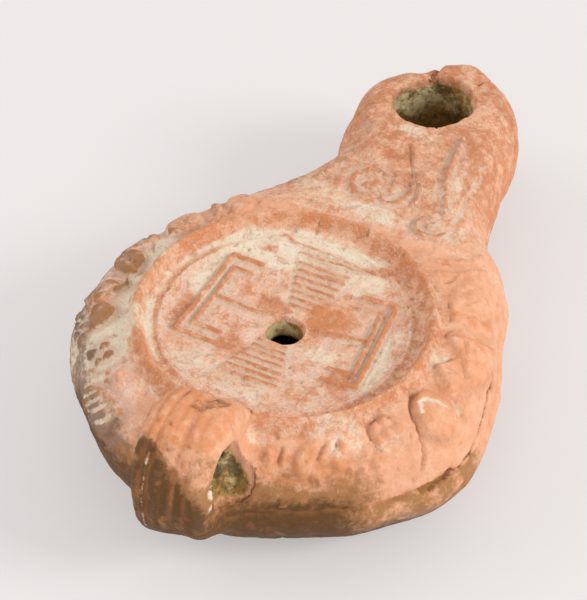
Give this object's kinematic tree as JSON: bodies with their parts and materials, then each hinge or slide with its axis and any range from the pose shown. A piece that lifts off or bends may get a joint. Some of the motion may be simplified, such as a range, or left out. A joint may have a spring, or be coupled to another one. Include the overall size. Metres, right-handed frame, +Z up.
{
  "type": "roman oil lamp",
  "caption": "Hollow fired-clay oil lamp with a dished round top, a broad nozzle with a wick hole, a pierced lug handle and worn relief carving.",
  "frame": {"origin": "on the plane of the flat base, straight under the middle of the filling hole", "axes": "+Z up, +Y from the filling hole to the nozzle, so +X is on the right when the nozzle points away"},
  "size_m": [0.0647, 0.1083, 0.0295],
  "materials": {
    "terracotta": "matt fired clay, worn orange on the ridges, cream deposit in the recesses, soot below"
  },
  "bodies": {
    "root": {"oil_lamp": "terracotta"}
  },
  "joints": []
}
